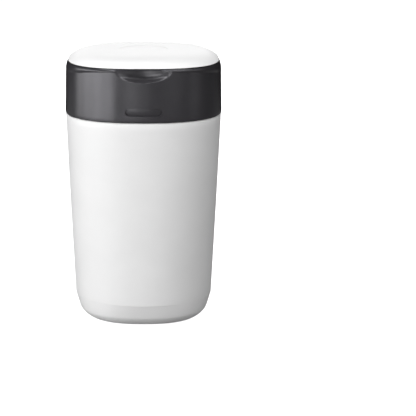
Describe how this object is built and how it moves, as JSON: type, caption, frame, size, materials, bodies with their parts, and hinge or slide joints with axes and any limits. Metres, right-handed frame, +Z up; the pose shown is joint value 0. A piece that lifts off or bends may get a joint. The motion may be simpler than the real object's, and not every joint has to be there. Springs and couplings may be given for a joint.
{
  "type": "nappy bin",
  "caption": "Squarish nappy bin: tapered white tub, hinged charcoal collar with finger scoop and catch, pillow lid, and a film cassette that twists inside.",
  "frame": {"origin": "on the floor, under the middle of the bin", "axes": "+Z up, -Y to the front with the finger scoop, +X to the right as seen from the front"},
  "size_m": [0.2534, 0.2533, 0.4399],
  "materials": {
    "white_plastic": "satin moulded",
    "charcoal_plastic": "satin moulded",
    "grey_plastic": "satin moulded",
    "black_plastic": "satin moulded",
    "soft_rubber": "soft matt",
    "film": "thin pleated film",
    "steel": "plain"
  },
  "bodies": {
    "tub_body": {"tub": "white_plastic", "collar_hinge_pin": "steel"},
    "collar_body": {"collar": "charcoal_plastic", "deck": "charcoal_plastic", "deck_screws": "steel", "cassette_well": "charcoal_plastic", "well_screws": "steel", "lid_hinge_pin": "steel", "grip_fingers": "soft_rubber", "grip_clamp": "charcoal_plastic", "grip_screws": "steel", "cutter_guard": "charcoal_plastic", "cutter_blade": "steel", "cutter_screws": "steel", "pawl_screw": "steel", "latch_spring": "steel"},
    "lid_body": {"lid_shell": "white_plastic", "lid_liner": "charcoal_plastic", "lid_seal": "soft_rubber"},
    "cassette_drive": {"twist_ring": "grey_plastic", "cassette_body": "black_plastic", "cassette_sleeve": "black_plastic", "cassette_cover": "black_plastic", "film_pack": "film"},
    "catch": {"latch_button": "charcoal_plastic"},
    "pawl": {"click_pawl": "grey_plastic"}
  },
  "joints": [
    {"name": "collar_hinge", "type": "hinge", "parent": "tub_body", "child": "collar_body", "pos_m": [0, 0.1198, 0.3397], "axis": [-1, 0, 0], "range_deg": [0, 95]},
    {"name": "lid_hinge", "type": "hinge", "parent": "collar_body", "child": "lid_body", "pos_m": [0, 0.1199, 0.4222], "axis": [-1, 0, 0], "range_deg": [0, 100]},
    {"name": "cassette_twist", "type": "hinge", "parent": "collar_body", "child": "cassette_drive", "pos_m": [0, 0, 0.3962], "axis": [0, 0, 1], "continuous": true},
    {"name": "catch_press", "type": "slide", "parent": "collar_body", "child": "catch", "axis": [0, 1, 0], "range_m": [0, 0.003], "stiffness_N_per_m": 900, "springref_m": -0.002, "deforming": ["latch_spring"]},
    {"name": "pawl_click", "type": "hinge", "parent": "collar_body", "child": "pawl", "pos_m": [0.1154, -0.024, 0.3972], "axis": [0, 0, -1], "range_deg": [0, 6], "stiffness_Nm_per_rad": 0.08, "springref_deg": -5.73}
  ]
}
